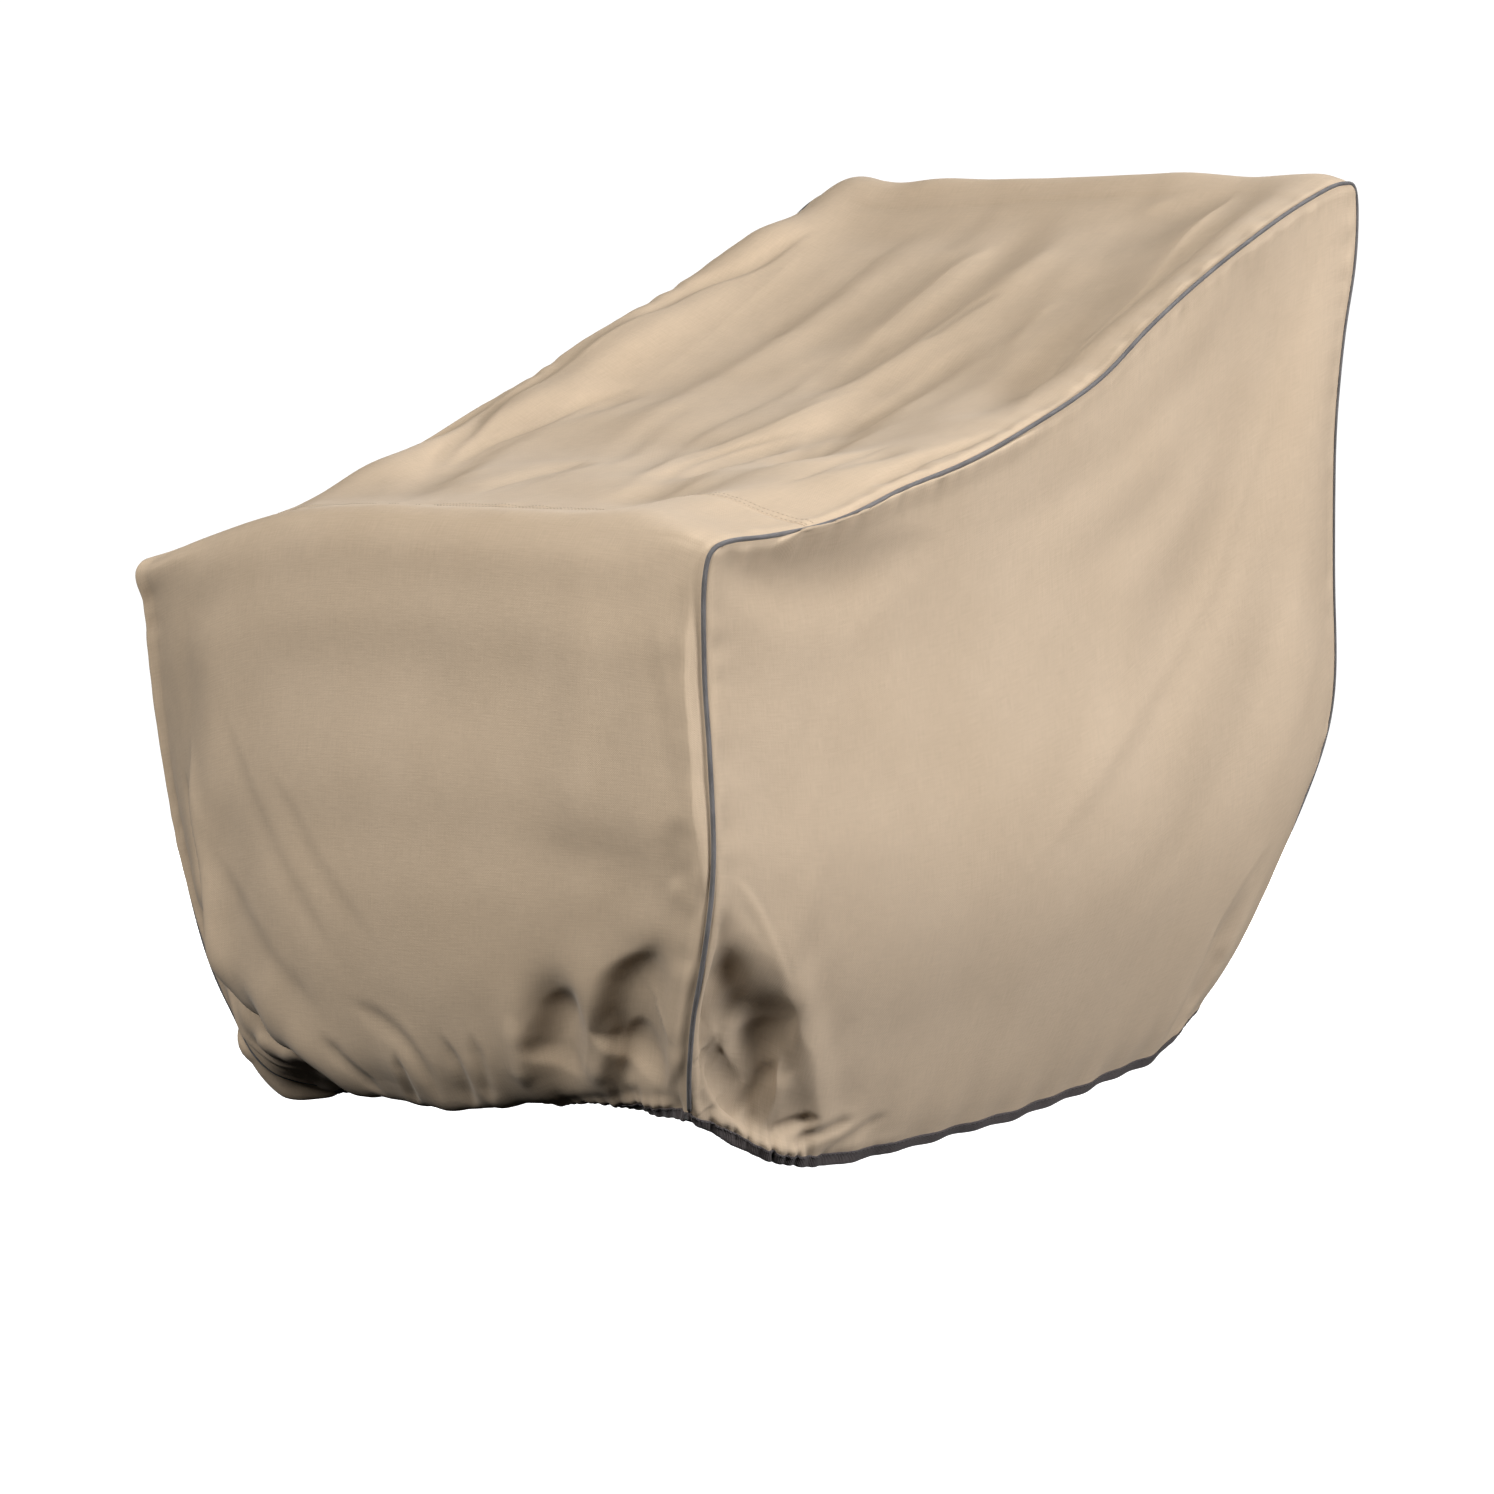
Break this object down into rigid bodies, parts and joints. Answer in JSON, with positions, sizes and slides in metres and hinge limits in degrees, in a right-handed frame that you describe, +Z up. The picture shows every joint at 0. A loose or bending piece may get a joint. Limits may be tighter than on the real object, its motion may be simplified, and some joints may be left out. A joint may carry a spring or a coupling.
{
  "type": "adirondack chair cover",
  "caption": "Fitted canvas cover for an adirondack chair, with a sloping top, piped edges, a draped skirt and a gathered hem bound with tape.",
  "frame": {"origin": "the hanging point: on the underside of the cloth below the top edge, midway between the sides", "axes": "+X to the right as seen from the front, +Y from the front to the back, +Z up"},
  "size_m": [0.6787, 0.839, 0.8114],
  "materials": {
    "canvas": "matt tan woven polyester canvas",
    "piping": "matt grey piping",
    "binding": "matt dark grey-brown tape"
  },
  "bodies": {
    "root": {"front_panel": "canvas", "centre_panel": "canvas", "side_right": "canvas", "side_left": "canvas", "piping_right": "piping", "piping_left": "piping", "hem_binding": "binding"}
  },
  "joints": []
}
